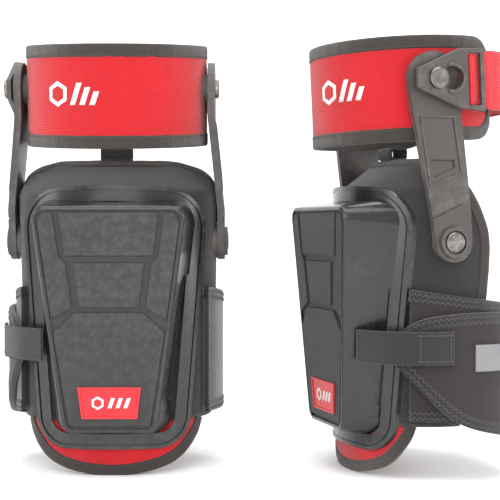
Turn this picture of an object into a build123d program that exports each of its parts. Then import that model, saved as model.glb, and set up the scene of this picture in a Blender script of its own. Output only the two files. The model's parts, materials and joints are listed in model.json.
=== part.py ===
"""A pair of hinged knee pads that carry load to the thigh, for the wearer's two legs.

Each piece is built once for the wearer's left leg: +X is the outer side of the leg, -Y is
the front, +Z is up, z = 0 is the lowest edge and the leg runs along the Z axis. At the end
every piece is placed twice, and the right leg's piece is mirrored. Millimetres throughout.
"""
import os
from math import cos, degrees, radians, sin, sqrt

from build123d import *

os.makedirs("parts", exist_ok=True)

# %% How the two pads stand
LEFT_X = 242.0  # distance between the two legs' axes
LEFT_TURN = -72.0  # the left pad is turned so that its outer side shows
CUFF_TILT = {"right": 6.0, "left": 2.5}  # degrees the cuff rests forward on its pivots

# %% Cap: rim round the leg, deep box in front of it
RIM_R, RIM_T = 118.0, 3.0  # the rim is part of an upright tube
RIM_AXIS_Y = 68.0
RIM_TOP, RIM_BOTTOM = 242.0, 22.0
RIM_HALF_TOP, RIM_HALF_BOTTOM = 80.0, 63.0
RIM_CORNER_TOP, RIM_CORNER_BOTTOM = 34.0, 27.0
RIM_CROWN = 5.0
FACE_TOP, FACE_BOTTOM = 224.5, 38.2
FACE_HALF_TOP, FACE_HALF_BOTTOM = 63.5, 38.6
FACE_Y_TOP, FACE_Y_BOTTOM = -75.0, -66.0
FACE_MID = (FACE_TOP + FACE_BOTTOM) / 2
FACE_LEAN = degrees((FACE_Y_BOTTOM - FACE_Y_TOP) / (FACE_TOP - FACE_BOTTOM))
ROOT_Y = -16.0  # where the box's sides start, inside the rim
ROOT_INSET = 8.0
CAP_WALL, FACE_WALL = 7.0, 7.0
TREAD_EDGE = 3.2  # rim of the cap left round the tread
TREAD_DEEP, TREAD_BASE = 3.0, 1.2
BADGE_T = 2.4

# %% Fabric body and lining
BODY_BOTTOM, BODY_KNEE, BODY_TOP = 45.0, 236.0, 264.0
BODY_T, LINER_T = 7.0, 3.0
HOOD_Y = -6.0  # front of the hood's top edge
WING_REAR = 45.0
TAPE_W, TAPE_PROUD = 9.0, 1.0
FLAP_T = 5.0

# %% Neoprene wings and calf strap
NEOPRENE_T = 5.0
WEB_W, WEB_T = 27.0, 2.0

# %% Arms and pivots
LOW_Y, LOW_Z = 8.5, 195.0
TOP_Y, TOP_Z = -6.0, 326.0
ARM_T = 6.0
ARM_X_TOP, ARM_X_LOW = 79.0, 87.0  # inner faces at the two ends
ARM_R_TOP, ARM_R_LOW = 22.5, 16.1
JOG_TOP, JOG_LOW = 300.0, 222.0
ARM_LEAN = degrees((ARM_X_LOW - ARM_X_TOP) / (JOG_TOP - JOG_LOW))
BOSS_R, BOSS_H = 12.6, 2.5
SHAFT_R, HEAD_R, HEAD_T = 4.5, 8.2, 3.0
RUN = 0.06  # radial clearance of a shaft in an arm

# %% Thigh cuff
CUFF_Y, CUFF_R, CUFF_IN = 4.0, 77.0, 68.0
CUFF_BOTTOM, CUFF_TOP = 278.0, 362.0
CUFF_END_Y, CUFF_CORNER = 60.0, 22.0
CUFF_TAPE = 10.5

# %% Buckle
PLATE_X, PLATE_T = 87.9, 4.0
HOLE_Y, HOLE_R = 6.7, 9.5
SLOT_HALF = 4.8
ELASTIC_T = 2.0

FACE = Plane(
    origin=(0, (FACE_Y_TOP + FACE_Y_BOTTOM) / 2, FACE_MID),
    x_dir=(1, 0, 0),
    z_dir=(0, -cos(radians(FACE_LEAN)), -sin(radians(FACE_LEAN))),
)


# %% Shared shapes
def rim_outline(inset):
    """The rim seen from the front, inset all round."""
    with BuildSketch(Plane.XZ) as outline:
        with BuildLine():
            ThreePointArc(
                (-RIM_HALF_TOP, RIM_TOP - RIM_CROWN), (0, RIM_TOP), (RIM_HALF_TOP, RIM_TOP - RIM_CROWN)
            )
            Polyline(
                (RIM_HALF_TOP, RIM_TOP - RIM_CROWN),
                (RIM_HALF_BOTTOM, RIM_BOTTOM),
                (-RIM_HALF_BOTTOM, RIM_BOTTOM),
                (-RIM_HALF_TOP, RIM_TOP - RIM_CROWN),
            )
        make_face()
        fillet(outline.vertices().group_by(Axis.Y)[-1], RIM_CORNER_TOP)
        fillet(outline.vertices().group_by(Axis.Y)[0], RIM_CORNER_BOTTOM)
        if inset:
            offset(amount=-inset)
    return outline.sketch


def tapered(plane, top, bottom, half_top, half_bottom, corner):
    """A four-sided outline, wider at the top, with rounded corners."""
    with BuildSketch(plane) as outline:
        with BuildLine():
            Polyline(
                (-half_top, top), (half_top, top), (half_bottom, bottom), (-half_bottom, bottom),
                close=True,
            )
        make_face()
        fillet(outline.vertices(), corner)
    return outline.sketch


def cap_box(inset, face_inset):
    """The deep box of the cap, from inside the rim out to the front face."""
    half_top = RIM_HALF_TOP - ROOT_INSET - inset
    half_bottom = RIM_HALF_BOTTOM - ROOT_INSET - inset
    root_top, root_bottom = RIM_TOP - ROOT_INSET - inset, RIM_BOTTOM + ROOT_INSET + inset
    up = FACE_TOP - FACE_MID - inset
    with BuildPart() as box:
        loft(
            [
                tapered(Plane.XZ.offset(-ROOT_Y), root_top, root_bottom, half_top, half_bottom, 24),
                tapered(
                    FACE.offset(-face_inset), up, -up, FACE_HALF_TOP - inset, FACE_HALF_BOTTOM - inset, 10
                ),
            ]
        )
    return box.part


def upright_tube(centre_y, outer, inner, bottom, top):
    with BuildPart() as tube:
        with BuildSketch(Plane.XY.offset(bottom)):
            with Locations((0, centre_y)):
                Circle(outer)
                if inner:
                    Circle(inner, mode=Mode.SUBTRACT)
        extrude(amount=top - bottom)
    return tube.part


def hood_section(z, front_y, radius, arc_half, side_half, inset):
    """The body cut level: a front arc, two curved sides and a straight back."""
    r = radius - inset
    centre_y = front_y + radius
    x = arc_half * r / radius
    y = centre_y - sqrt(r**2 - x**2)
    run, rise = sqrt(r**2 - x**2) / r, x / r
    side, rear = side_half - inset, 70.0
    with BuildSketch(Plane.XY.offset(z)) as section:
        with BuildLine():
            ThreePointArc((-x, y), (0, centre_y - r), (x, y))
            Spline((x, y), (side, rear), tangents=((run, rise), (0, 1)))
            Line((side, rear), (-side, rear))
            Spline((-side, rear), (-x, y), tangents=((0, -1), (run, -rise)))
        make_face()
    return section.sketch


def hood(inset):
    """The solid inside of the body: upright to the knee, then leaning back over it."""
    front = RIM_AXIS_Y - RIM_R + RIM_T
    radius = RIM_R - RIM_T
    with BuildPart() as solid:
        loft(
            [
                hood_section(-5, front, radius, 60, 78, inset),
                hood_section(BODY_KNEE, front, radius, 74, 81.5, inset),
                hood_section(BODY_TOP + 2, HOOD_Y, radius, 66, 75, inset),
            ],
            ruled=True,
        )
    return solid.part


def moved_in(points, inset):
    """The same curve further to its right: each point moves square to its neighbours' chord."""
    moved = []
    for before, here, after in zip(points[:1] + points, points, points[1:] + points[-1:]):
        run, rise = after[0] - before[0], after[1] - before[1]
        chord = sqrt(run**2 + rise**2)
        moved.append((here[0] + inset * rise / chord, here[1] - inset * run / chord))
    return moved


def slab_across(plane, points, closing):
    """An outline of a curve and its closing corners, pushed right through the pad."""
    with BuildPart() as slab:
        with BuildSketch(plane):
            with BuildLine():
                Spline(*points)
                Polyline(points[-1], *closing, points[0])
            make_face()
        extrude(amount=130, both=True)
    return slab.part


def body_outline(inset):
    """Hood and wing seen from the side, inset from the top and back edges."""
    edge = [(2, BODY_TOP), (24, 241), (40, 214), (WING_REAR, 190), (41, 140), (28, 80), (12, 20)]
    edge = moved_in(edge, inset)
    return slab_across(Plane.YZ, edge, [(-140, edge[-1][1]), (-140, edge[0][1])])


def block(width, depth, bottom, top, centre_y=0):
    """A plain box about the leg's axis, used to keep or clear a range of heights."""
    with BuildPart() as box:
        with Locations((0, centre_y, (bottom + top) / 2)):
            Box(width, depth, top - bottom)
    return box.part


def wall(points, thickness, bottom, top):
    """A strip that follows a curve in plan."""
    with BuildPart() as strip:
        with BuildSketch(Plane.XY.offset(bottom)):
            with BuildLine():
                Spline(*points)
            trace(line_width=thickness)
        extrude(amount=top - bottom)
    return strip.part


def x_rod(y, z, radius, start, end):
    """A round along X, on the side of positive X."""
    with BuildPart() as rod:
        with BuildSketch(Plane.YZ.offset(start)):
            with Locations((y, z)):
                Circle(radius)
        extrude(amount=end - start)
    return rod.part


def both_sides(shape):
    with BuildPart() as pair:
        add(shape)
        mirror(about=Plane.YZ)
    return pair.part


# %% Cap
def cap_shell():
    with BuildPart() as shell:
        add(cap_box(0, 0))
        fillet(shell.faces().sort_by(Axis.Y)[0].edges(), 3)
        add(cap_box(CAP_WALL, FACE_WALL), mode=Mode.SUBTRACT)
        # the sides are waisted: a shallow pocket with a deeper panel behind it
        for side in (1, -1):
            lean = Plane(
                origin=(side * 61.0, -42, 108), x_dir=(side * 0.2, 0.98, 0), z_dir=(side * 0.97, -0.2, -0.1)
            )
            with BuildSketch(lean):
                RectangleRounded(34, 118, 8)
            extrude(amount=-7.5, mode=Mode.SUBTRACT)
            with BuildSketch(lean.offset(-7.5)):
                with Locations((side * 6.5, 0)):
                    RectangleRounded(17, 96, 4)
            extrude(amount=-1.6, mode=Mode.SUBTRACT)
        # the front face is let in for the tread
        up = FACE_TOP - FACE_MID - TREAD_EDGE
        tapered_half = (FACE_HALF_TOP - TREAD_EDGE, FACE_HALF_BOTTOM - TREAD_EDGE)
        extrude(tapered(FACE, up, -up, *tapered_half, 8), amount=-TREAD_DEEP, mode=Mode.SUBTRACT)
        add(upright_tube(RIM_AXIS_Y, RIM_R - RIM_T, 0, 0, 260), mode=Mode.SUBTRACT)
        add(cap_rim())
    return shell.part


def rim_groove():
    """A shallow groove round the rim, in which the cap is stitched to the body."""
    with BuildPart() as groove:
        extrude(rim_outline(3.0), amount=60)
        extrude(rim_outline(4.8), amount=60, mode=Mode.SUBTRACT)
        add(upright_tube(RIM_AXIS_Y, RIM_R + 1, RIM_R - 1.0, 0, 260), mode=Mode.INTERSECT)
    return groove.part


def cap_rim():
    """The rim: an upright tube trimmed to its outline, with the stitching's groove."""
    with BuildPart() as rim:
        extrude(rim_outline(0), amount=60)
        add(upright_tube(RIM_AXIS_Y, RIM_R, RIM_R - RIM_T, 0, 260), mode=Mode.INTERSECT)
        extrude(rim_outline(13), amount=60, mode=Mode.SUBTRACT)
        add(rim_groove(), mode=Mode.SUBTRACT)
    return rim.part


def foam_core():
    with BuildPart() as core:
        add(cap_box(CAP_WALL, FACE_WALL))
        add(upright_tube(RIM_AXIS_Y, RIM_R - RIM_T, 0, 0, 260), mode=Mode.SUBTRACT)
    return core.part


TREAD_PANELS = [  # corners on the face as (x, height above its middle); the last one is mirrored
    [(-41.0, 88.0), (41.0, 88.0), (36.3, 52.4), (-36.3, 52.4)],
    [(-28.9, 46.7), (28.9, 46.7), (24.0, 11.0), (-24.0, 11.0)],
    [(-27.7, 6.0), (27.7, 6.0), (45.4, -10.2), (33.0, -87.0), (-33.0, -87.0), (-45.4, -10.2)],
    [(45.8, 88.0), (54.0, 87.0), (57.4, 79.0), (47.0, 1.5), (30.2, 10.2), (35.2, 46.0), (40.9, 52.4)],
]


def cap_tread():
    up = FACE_TOP - FACE_MID - TREAD_EDGE
    halves = (FACE_HALF_TOP - TREAD_EDGE, FACE_HALF_BOTTOM - TREAD_EDGE)
    with BuildPart() as tread:
        extrude(tapered(FACE.offset(-TREAD_DEEP), up, -up, *halves, 8), amount=TREAD_BASE)
        with BuildSketch(FACE.offset(TREAD_BASE - TREAD_DEEP)):
            for corners in TREAD_PANELS:
                with BuildLine():
                    Polyline(*corners, close=True)
                make_face()
            with BuildLine():
                Polyline(*[(-x, y) for x, y in TREAD_PANELS[-1]], close=True)
            make_face()
        extrude(amount=TREAD_DEEP - TREAD_BASE)
        chamfer(tread.faces().group_by(Axis((0, 0, 0), (0, -1, 0)))[-1].edges(), 0.6)
        extrude(badge_outline(0, 0), amount=-1.2, mode=Mode.SUBTRACT)
    return tread.part


def badge_outline(height, inset):
    with BuildSketch(FACE.offset(height)) as outline:
        with BuildLine():
            Polyline((-26, -55), (26, -55), (22.8, -81), (-22.8, -81), close=True)
        make_face()
        if inset:
            offset(amount=-inset)
    return outline.sketch


def cap_badge():
    with BuildPart() as badge:
        extrude(badge_outline(-1.2, 0), amount=BADGE_T)
        extrude(badge_outline(BADGE_T - 1.2, 1.6), amount=-0.7, mode=Mode.SUBTRACT)
    return badge.part


# %% Fabric body, lining, flap and loop
def fabric_body():
    with BuildPart() as body:
        add(hood(0.1))
        add(hood(BODY_T), mode=Mode.SUBTRACT)
        add(body_outline(0), mode=Mode.INTERSECT)
        add(body_tape_zone(), mode=Mode.SUBTRACT)
        add(block(400, 400, 0, BODY_BOTTOM), mode=Mode.SUBTRACT)
    return body.part


def body_tape_zone():
    """The strip along the back edge that the tape covers."""
    with BuildPart() as zone:
        add(body_outline(0))
        add(body_outline(TAPE_W), mode=Mode.SUBTRACT)
        add(block(400, 200, BODY_BOTTOM, 275, centre_y=86), mode=Mode.INTERSECT)
    return zone.part


def body_binding():
    with BuildPart() as tape:
        add(hood(-TAPE_PROUD))
        add(hood(BODY_T + TAPE_PROUD), mode=Mode.SUBTRACT)
        add(body_tape_zone(), mode=Mode.INTERSECT)
    return tape.part


def knee_liner():
    with BuildPart() as liner:
        add(hood(BODY_T + TAPE_PROUD))
        add(hood(BODY_T + TAPE_PROUD + LINER_T), mode=Mode.SUBTRACT)
        add(body_outline(TAPE_W + 2), mode=Mode.INTERSECT)
        add(block(400, 400, 0, 60), mode=Mode.SUBTRACT)
    return liner.part


def flap_front(inset):
    """The flap seen from the front."""
    edge = moved_in([(76, 60), (69, 30), (47, 8), (0, 0), (-47, 8), (-69, 30), (-76, 60)], inset)
    return slab_across(Plane.XZ, edge, [])


def flap_shape(inset_out, inset_in):
    with BuildPart() as strip:
        add(hood(inset_out))
        add(hood(inset_in), mode=Mode.SUBTRACT)
        add(block(300, 70, -2, BODY_BOTTOM, centre_y=-20), mode=Mode.INTERSECT)
        add(flap_front(0), mode=Mode.INTERSECT)
    return strip.part


def flap_tape_zone():
    with BuildPart() as zone:
        add(flap_front(0))
        add(flap_front(TAPE_W), mode=Mode.SUBTRACT)
        add(block(300, 300, -2, 32), mode=Mode.INTERSECT)
    return zone.part


def shin_flap():
    with BuildPart() as flap:
        add(flap_shape(0.6, 0.6 + FLAP_T))
        add(flap_tape_zone(), mode=Mode.SUBTRACT)
    return flap.part


def flap_binding():
    with BuildPart() as tape:
        add(flap_shape(0.1, 1.1 + FLAP_T))
        add(flap_tape_zone(), mode=Mode.INTERSECT)
    return tape.part


def pull_loop():
    with BuildPart() as loop:
        with BuildSketch(Plane.YZ):
            with Locations((-3.5, BODY_TOP + 6.1)):
                RectangleRounded(16, 12, 4.5)
                RectangleRounded(12, 8, 2.6, mode=Mode.SUBTRACT)
        extrude(amount=WEB_W / 2, both=True)
    return loop.part


# %% Neoprene wings
OUTER_WING = [(77.2, -23), (83.6, -8), (87.6, 12), (87.8, 36), (80.5, 54.5), (67.5, 65.5)]
INNER_WING = [(-77.2, -23), (-83.6, -8), (-87.6, 12), (-87.6, 36), (-78, 54), (-63.2, 63.8)]


def wing_slab(inset):
    with BuildPart() as slab:
        with BuildSketch(Plane.YZ):
            with BuildLine():
                Polyline((-60, 161), (120, 137), (120, 46), (-60, 52), close=True)
            make_face()
            if inset:
                offset(amount=-inset)
        extrude(amount=130, both=True)
    return slab.part


def wing(points):
    with BuildPart() as strip:
        add(wall(points, NEOPRENE_T, 40, 165))
        add(wing_slab(TAPE_W), mode=Mode.INTERSECT)
    return strip.part


def wing_binding():
    with BuildPart() as tape:
        for points in (OUTER_WING, INNER_WING):
            add(wall(points, NEOPRENE_T + 0.4, 40, 165))
        add(wing_slab(0), mode=Mode.INTERSECT)
        add(wing_slab(TAPE_W), mode=Mode.SUBTRACT)
    return tape.part


# %% Calf strap
STRAP = [
    (-59.2, 66.9), (-40, 76.5), (-10, 82), (22, 83), (50, 79.8), (74.5, 70.5), (89.5, 55.5),
    (94.3, 36), (93.8, 12), (89.9, -10), (83.2, -27), (75, -41),
]


def strap_slab(inset):
    """The strap seen from the side, with its leaf-shaped tongue at the front."""
    tongue = [(62, 36), (12, 50), (-24, 82), (-41, 108), (-24, 130), (12, 137), (62, 138)]
    tongue = moved_in(tongue, inset)
    return slab_across(Plane.YZ, tongue, [(140, tongue[-1][1]), (140, tongue[0][1])])


def calf_strap():
    with BuildPart() as strap:
        add(wall(STRAP, NEOPRENE_T, 30, 145))
        add(strap_slab(TAPE_W), mode=Mode.INTERSECT)
    return strap.part


def strap_binding():
    with BuildPart() as tape:
        add(wall(STRAP, NEOPRENE_T + 0.4, 30, 145))
        add(strap_slab(0), mode=Mode.INTERSECT)
        add(strap_slab(TAPE_W), mode=Mode.SUBTRACT)
    return tape.part


def strap_tab():
    path = [(97.4, 6), (95.4, -12), (90.4, -27), (77.5, -45), (56, -60.5)]
    return wall(path, WEB_T, 110.5 - WEB_W / 2, 110.5 + WEB_W / 2)


def strap_label():
    return wall([(98.1, 25), (98.1, 37), (95.6, 50)], 1.0, 91, 113)


# %% Arms
def arm_slab():
    """The jogged plate seen from the front."""
    with BuildPart() as slab:
        with BuildSketch(Plane.XZ):
            with BuildLine():
                Polyline(
                    (ARM_X_TOP, 360), (ARM_X_TOP + ARM_T, 360), (ARM_X_TOP + ARM_T, JOG_TOP),
                    (ARM_X_LOW + ARM_T, JOG_LOW), (ARM_X_LOW + ARM_T, 165), (ARM_X_LOW, 165),
                    (ARM_X_LOW, JOG_LOW), (ARM_X_TOP, JOG_TOP), close=True,
                )
            make_face()
        extrude(amount=60, both=True)
    return slab.part


def arm(top_boss):
    outer_top, outer_low = ARM_X_TOP + ARM_T, ARM_X_LOW + ARM_T
    sloped = Plane(
        origin=((outer_top + outer_low) / 2, 0, (JOG_TOP + JOG_LOW) / 2),
        x_dir=(0, 1, 0),
        z_dir=(cos(radians(ARM_LEAN)), 0, sin(radians(ARM_LEAN))),
    )
    with BuildPart() as plate:
        with BuildSketch(Plane.YZ.offset(60)):
            with Locations((TOP_Y, TOP_Z)):
                Circle(ARM_R_TOP)
            with Locations((LOW_Y, LOW_Z)):
                Circle(ARM_R_LOW)
            make_hull()
        extrude(amount=50)
        add(arm_slab(), mode=Mode.INTERSECT)
        # a raised frame round a sunk panel on the sloped part, then a cut across
        with BuildSketch(sloped):
            with BuildLine():
                Polyline((-19, 36), (12.5, 36), (17.0, -10.5), (-13, -23), close=True)
            make_face()
            with BuildLine():
                Polyline((-17, 34), (10.5, 34), (14.8, -9.3), (-11.5, -20.3), close=True)
            make_face(mode=Mode.SUBTRACT)
        extrude(amount=0.8)
        with BuildSketch(sloped):
            with BuildLine():
                Polyline((-14.5, 31), (6.5, 31), (10.5, -6.3), (-8.6, -14.5), close=True)
            make_face()
        extrude(amount=-1.4, mode=Mode.SUBTRACT)
        with BuildSketch(Plane.YZ.offset(outer_low - 1.2)):
            with BuildLine():
                Polyline((-14, 211.8), (27, 230.6), (27, 232.9), (-14, 214.1), close=True)
            make_face()
        extrude(amount=10, mode=Mode.SUBTRACT)
        with BuildSketch(Plane.YZ.offset(outer_low)):
            with Locations((LOW_Y, LOW_Z)):
                Circle(BOSS_R)
                Circle(HEAD_R + 1.2, mode=Mode.SUBTRACT)
        extrude(amount=BOSS_H)
        if top_boss:
            with BuildSketch(Plane.YZ.offset(outer_top)):
                with Locations((TOP_Y, TOP_Z)):
                    Circle(BOSS_R)
            extrude(amount=BOSS_H)
        with BuildSketch(Plane.YZ.offset(60)):
            with Locations((TOP_Y, TOP_Z), (LOW_Y, LOW_Z)):
                Circle(SHAFT_R + RUN)
        extrude(amount=60, mode=Mode.SUBTRACT)
    return plate.part


def outer_arm():
    return arm(top_boss=True)


def inner_arm():
    with BuildPart() as plate:
        add(arm(top_boss=False))
        mirror(about=Plane.YZ, mode=Mode.REPLACE)
    return plate.part


# %% Pivots
def pivot_pads():
    with BuildPart() as pad:
        add(x_rod(LOW_Y, LOW_Z, 15, 74, ARM_X_LOW - 0.2))
        add(hood(0), mode=Mode.SUBTRACT)
    return both_sides(pad.part)


def lower_rivets():
    start = ARM_X_LOW - 0.2
    with BuildPart() as rivet:
        add(x_rod(LOW_Y, LOW_Z, SHAFT_R, start, ARM_X_LOW + ARM_T + 0.3))
        add(x_rod(LOW_Y, LOW_Z, HEAD_R, ARM_X_LOW + ARM_T + 0.3, ARM_X_LOW + ARM_T + 0.3 + HEAD_T))
        chamfer(rivet.faces().sort_by(Axis.X)[-1].edges(), 0.8)
    return both_sides(rivet.part)


def upper_pads():
    with BuildPart() as pad:
        add(x_rod(TOP_Y, TOP_Z, 13, 70, ARM_X_TOP - 0.3))
        add(upright_tube(CUFF_Y, CUFF_R, 0, 200, 400), mode=Mode.SUBTRACT)
        add(x_rod(TOP_Y, TOP_Z, SHAFT_R, 60, 90), mode=Mode.SUBTRACT)
    return both_sides(pad.part)


def pivot_pin(neck_end, head_t):
    with BuildPart() as pin:
        add(x_rod(TOP_Y, TOP_Z, SHAFT_R, 71, neck_end))
        add(x_rod(TOP_Y, TOP_Z, HEAD_R, neck_end, neck_end + head_t))
        chamfer(pin.faces().sort_by(Axis.X)[-1].edges(), 0.7)
    return pin.part


def keyhole_stud():
    return pivot_pin(PLATE_X + PLATE_T + 0.4, 3.6)


def inner_rivet():
    with BuildPart() as pin:
        add(pivot_pin(ARM_X_TOP + ARM_T + 0.3, HEAD_T))
        mirror(about=Plane.YZ, mode=Mode.REPLACE)
    return pin.part


# %% Thigh cuff
def cuff_slab(inset):
    """The cuff seen from the side: its two ends are cut with rounded corners."""
    with BuildPart() as slab:
        with BuildSketch(Plane.YZ) as outline:
            with BuildLine():
                Polyline(
                    (-150, CUFF_TOP), (CUFF_END_Y, CUFF_TOP), (CUFF_END_Y, CUFF_BOTTOM), (-150, CUFF_BOTTOM),
                    close=True,
                )
            make_face()
            fillet(outline.vertices().group_by(Axis.X)[-1], CUFF_CORNER)
            if inset:
                offset(amount=-inset)
        extrude(amount=130, both=True)
    return slab.part


def cuff_ring(outer, inner, inset):
    with BuildPart() as ring:
        add(upright_tube(CUFF_Y, outer, inner, CUFF_BOTTOM - 5, CUFF_TOP + 5))
        add(cuff_slab(inset), mode=Mode.INTERSECT)
        add(both_sides(x_rod(TOP_Y, TOP_Z, SHAFT_R, 71, 90)), mode=Mode.SUBTRACT)
    return ring.part


def cuff_panel():
    return cuff_ring(CUFF_R, CUFF_R - 3.3, CUFF_TAPE)


def cuff_lining():
    return cuff_ring(CUFF_R - 3.3, CUFF_IN, 0)


def cuff_binding():
    with BuildPart() as tape:
        add(cuff_ring(CUFF_R + 0.8, CUFF_R - 3.3, 0))
        add(cuff_slab(CUFF_TAPE), mode=Mode.SUBTRACT)
    return tape.part


# %% Buckle
def buckle_plate():
    with BuildPart() as plate:
        with BuildSketch(Plane.YZ.offset(PLATE_X)) as outline:
            with BuildLine():
                Polyline(
                    (-23.5, 334), (14.3, 349.8), (36, 349.8), (36, 298.7), (12.6, 302), (-23.5, 318.4),
                    close=True,
                )
            make_face()
            fillet(outline.vertices(), 1.5)
        extrude(amount=PLATE_T)
        chamfer(plate.faces().sort_by(Axis.X)[-1].edges(), 0.7)
        with BuildSketch(Plane.YZ.offset(PLATE_X + PLATE_T)):
            with Locations((HOLE_Y, TOP_Z)):
                Circle(HOLE_R + 2.6)
            with Locations((HOLE_Y - 13.5, TOP_Z)):
                Rectangle(20, 40, mode=Mode.SUBTRACT)
        extrude(amount=1.4)
        with BuildSketch(Plane.YZ.offset(PLATE_X)):
            with Locations((HOLE_Y, TOP_Z)):
                Circle(HOLE_R)
            with Locations(((HOLE_Y + TOP_Y) / 2, TOP_Z)):
                Rectangle(HOLE_Y - TOP_Y, 2 * SLOT_HALF)
            with Locations((TOP_Y, TOP_Z)):
                Circle(SLOT_HALF)
            with Locations((26.65, 324.7)):
                RectangleRounded(11.3, 42.2, 1.5)
        extrude(amount=10, mode=Mode.SUBTRACT)
    return plate.part


ELASTIC = [
    (90.2, 22.6), (88.9, 26.5), (86.1, 31.5), (85.2, 37), (82.5, 45), (69, 65), (38, 81.5),
    (0, 86.5), (-38, 78), (-62, 56.5), (-72.8, 36), (-76.2, 26.5),
]


def elastic_slab():
    """The elastic seen from the side: gathered in at the buckle, full width behind."""
    with BuildPart() as slab:
        with BuildSketch(Plane.YZ):
            with BuildLine():
                Polyline(
                    (0, 345.3), (32, 345.3), (45, 349), (120, 349), (120, 300), (45, 300),
                    (32, 304.1), (0, 304.1), close=True,
                )
            make_face()
        extrude(amount=130, both=True)
    return slab.part


def elastic_strap():
    with BuildPart() as strap:
        add(wall(ELASTIC, ELASTIC_T, 295, 355))
        add(elastic_slab(), mode=Mode.INTERSECT)
    return strap.part


# %% Place every piece for both legs
ON_THE_SHIN = [
    cap_shell, cap_tread, cap_badge, foam_core, fabric_body, knee_liner, body_binding, shin_flap,
    flap_binding, pull_loop, wing_binding, pivot_pads, lower_rivets, calf_strap, strap_binding,
    strap_tab, strap_label, outer_arm, inner_arm,
]
ON_THE_THIGH = [
    cuff_panel, cuff_binding, cuff_lining, upper_pads, keyhole_stud, inner_rivet, buckle_plate,
    elastic_strap,
]


def placed(shape, side, tilt):
    """A finished piece tilted about the upper pivots, then mirrored or turned to its leg."""
    shape = shape.rotate(Axis((0, TOP_Y, TOP_Z), (1, 0, 0)), tilt)
    with BuildPart() as piece:
        if side == "left":
            with Locations(Location((LEFT_X, 0, 0), (0, 0, LEFT_TURN))):
                add(shape)
        else:
            add(shape)
            mirror(about=Plane.YZ, mode=Mode.REPLACE)
    return piece


def save(name, shape, tilted=False):
    for side in ("right", "left"):
        piece = placed(shape, side, CUFF_TILT[side] if tilted else 0.0)
        piece.part.label = f"{side}_{name}"
        export_step(piece.part, f"parts/{side}_{name}.step")


for make in ON_THE_SHIN:
    save(make.__name__, make())
save("outer_wing", wing(OUTER_WING))
save("inner_wing", wing(INNER_WING))
for make in ON_THE_THIGH:
    save(make.__name__, make(), tilted=True)
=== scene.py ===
# %% [markdown]
# # A pair of hinged knee pads
# Each pad is a hard cap on a padded body. Two arms go up from the sides of the knee to a
# red thigh cuff, and a soft strap closes round the calf. The hard parts come finished from
# the CAD frame and only need materials. Everything sewn is made here, because cloth, tape
# and stitches are what a CAD solid can't show.

# %% Load the frame
import json
import math

import bmesh
import bpy
import numpy as np
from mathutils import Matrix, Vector


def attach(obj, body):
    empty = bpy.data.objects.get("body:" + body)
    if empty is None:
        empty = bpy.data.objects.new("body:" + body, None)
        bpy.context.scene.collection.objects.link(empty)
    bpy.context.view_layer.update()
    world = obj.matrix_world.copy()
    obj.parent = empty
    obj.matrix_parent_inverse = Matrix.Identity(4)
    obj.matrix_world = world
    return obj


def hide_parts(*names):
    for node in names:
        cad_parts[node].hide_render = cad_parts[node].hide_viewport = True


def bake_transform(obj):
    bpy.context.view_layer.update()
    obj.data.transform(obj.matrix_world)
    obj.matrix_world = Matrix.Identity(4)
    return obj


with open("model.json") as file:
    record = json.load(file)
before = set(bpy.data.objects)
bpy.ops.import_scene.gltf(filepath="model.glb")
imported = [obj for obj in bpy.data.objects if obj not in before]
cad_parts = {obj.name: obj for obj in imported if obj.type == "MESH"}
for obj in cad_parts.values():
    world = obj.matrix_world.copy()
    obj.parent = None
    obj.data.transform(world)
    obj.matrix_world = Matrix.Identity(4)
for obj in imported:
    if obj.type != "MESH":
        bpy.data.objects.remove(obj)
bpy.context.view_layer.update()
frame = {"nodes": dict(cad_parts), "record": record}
NODES = frame["nodes"]
SCENE = bpy.context.scene
SIDES = ("right", "left")

# %% [markdown]
# ## Camera and room
# The camera comes first, so that every later look is from the right place. It stands at
# knee height, about a metre away, so that the front pad is seen square on and the turned
# pad shows its outer side. The room is a pale floor that curves up into a wall, which
# leaves no horizon line behind the object.

# %% Camera
VIEW_X, VIEW_HEIGHT, VIEW_BACK = 0.115, 0.209, 1.076
VIEW_DIP = math.radians(1.16)
LENS = 89.1


def place_camera():
    data = bpy.data.cameras.new("camera")
    data.lens, data.sensor_width = LENS, 36.0
    camera = bpy.data.objects.new("camera", data)
    camera.location = (VIEW_X, -VIEW_BACK, VIEW_HEIGHT)
    camera.rotation_euler = (math.pi / 2 - VIEW_DIP, 0, 0)
    SCENE.collection.objects.link(camera)
    SCENE.camera = camera
    return camera


camera = place_camera()
print("camera", tuple(round(c, 3) for c in camera.location))

# %% [markdown]
# ## Helpers for placing sewn pieces
# Both pads are the same pad, so every sewn piece is worked out once, in millimetres, for a
# left leg that faces the front. `to_leg` then puts its points on one leg or the other: the
# right leg's are mirrored, and the left leg's are turned. The cuff also leans a little
# forward on its two pivots.

# %% Where the legs are
MOUNTS = {mount["name"]: mount["pos_m"] for mount in frame["record"]["mounts"]}
LEFT_TURN = math.radians(-72.0)
CUFF_LEAN = {"right": math.radians(6.0), "left": math.radians(2.5)}
PIVOT_Y, PIVOT_Z = -6.0, 326.0
MM = 0.001


def to_leg(side, points, leaning=False):
    """Points of the one pad, in millimetres, put on a leg in metres."""
    x, y, z = np.moveaxis(np.asarray(points, float), -1, 0)
    if leaning:
        c, s = math.cos(CUFF_LEAN[side]), math.sin(CUFF_LEAN[side])
        dy, dz = y - PIVOT_Y, z - PIVOT_Z
        y, z = PIVOT_Y + dy * c - dz * s, PIVOT_Z + dy * s + dz * c
    if side == "right":
        x = -x
    else:
        c, s = math.cos(LEFT_TURN), math.sin(LEFT_TURN)
        x, y = x * c - y * s, x * s + y * c
    return np.stack([x, y, z], -1) * MM + np.array(MOUNTS[side + "_leg"])


print("legs", MOUNTS)

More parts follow.
